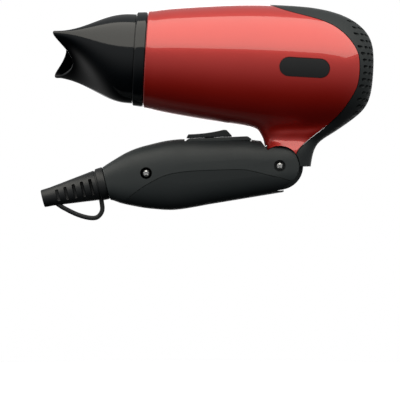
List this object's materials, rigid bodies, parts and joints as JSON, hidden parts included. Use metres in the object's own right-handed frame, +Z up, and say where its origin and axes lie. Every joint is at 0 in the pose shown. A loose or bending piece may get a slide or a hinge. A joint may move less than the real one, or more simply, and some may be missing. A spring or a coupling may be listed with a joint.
{
  "type": "folding hair dryer",
  "caption": "Travel hair dryer with a tapered barrel, a turned-down flat nozzle, a domed slotted rear cover and a handle folded under the barrel on a hinge.",
  "frame": {"origin": "under the middle of the folded dryer, at the level of its lowest point", "axes": "+Z up as the dryer is pictured, +X towards the rear cover, +Y across the dryer, air flows towards -X"},
  "size_m": [0.1994, 0.0742, 0.1294],
  "materials": {
    "red_plastic": "smooth glossy red",
    "black_satin": "satin black",
    "black_gloss": "glossy black",
    "grey_satin": "satin dark grey",
    "switch_plastic": "satin black",
    "inlay": "smooth dark grey",
    "black_rubber": "matt black",
    "steel": "plated steel",
    "brass": "turned brass",
    "black_frame": "moulded black",
    "mica": "mica sheet",
    "heating_wire": "oxidised wire",
    "board": "circuit board",
    "brown_sleeve": "insulated wire",
    "blue_sleeve": "insulated wire"
  },
  "bodies": {
    "housing": {"housing_left": "red_plastic", "housing_right": "red_plastic", "rear_cover": "black_satin", "outlet_grille": "black_frame", "mica_sleeve": "mica", "heater_board_flat": "mica", "heater_board_upright": "mica", "heater_coil": "heating_wire", "thermostat": "steel", "thermal_fuse": "steel", "fan_housing": "black_frame", "motor": "steel", "motor_board": "board", "side_inlay_left": "inlay", "side_inlay_right": "inlay", "housing_screw_left": "steel", "housing_screw_right": "steel", "barrel_lead_live": "brown_sleeve", "barrel_lead_neutral": "blue_sleeve", "hinge_bush": "brass", "hinge_knuckle": "black_satin"},
    "fan": {"fan_impeller": "black_frame", "motor_shaft": "steel"},
    "collar": {"nozzle_collar": "black_gloss"},
    "nozzle": {"concentrator_nozzle": "black_gloss"},
    "handle": {"handle_left": "grey_satin", "handle_right": "grey_satin", "handle_back": "grey_satin", "strain_relief": "black_rubber", "switch_bezel": "grey_satin", "switch_body": "black_frame", "handle_screw": "steel", "hinge_screw": "steel", "hinge_washer_left": "steel", "hinge_washer_right": "steel", "handle_lead_live": "brown_sleeve", "handle_lead_neutral": "blue_sleeve"},
    "switch": {"switch_knob": "switch_plastic"}
  },
  "joints": [
    {"name": "fan_spin", "type": "hinge", "parent": "housing", "child": "fan", "pos_m": [-0.0365, 0, 0.09634], "axis": [-0.9984, 0, 0.0558], "continuous": true},
    {"name": "collar_pull", "type": "slide", "parent": "housing", "child": "collar", "axis": [-0.9984, 0, 0.0558], "range_m": [0, 0.03]},
    {"name": "nozzle_turn", "type": "hinge", "parent": "collar", "child": "nozzle", "pos_m": [-0.0365, 0, 0.09634], "axis": [-0.9984, 0, 0.0558], "continuous": true},
    {"name": "handle_fold", "type": "hinge", "parent": "housing", "child": "handle", "pos_m": [0.0433, 0, 0.0325], "axis": [0, -1, 0], "range_deg": [0, 75]},
    {"name": "switch_slide", "type": "slide", "parent": "handle", "child": "switch", "axis": [0.9992, 0, 0.0401], "range_m": [0, 0.006]}
  ]
}
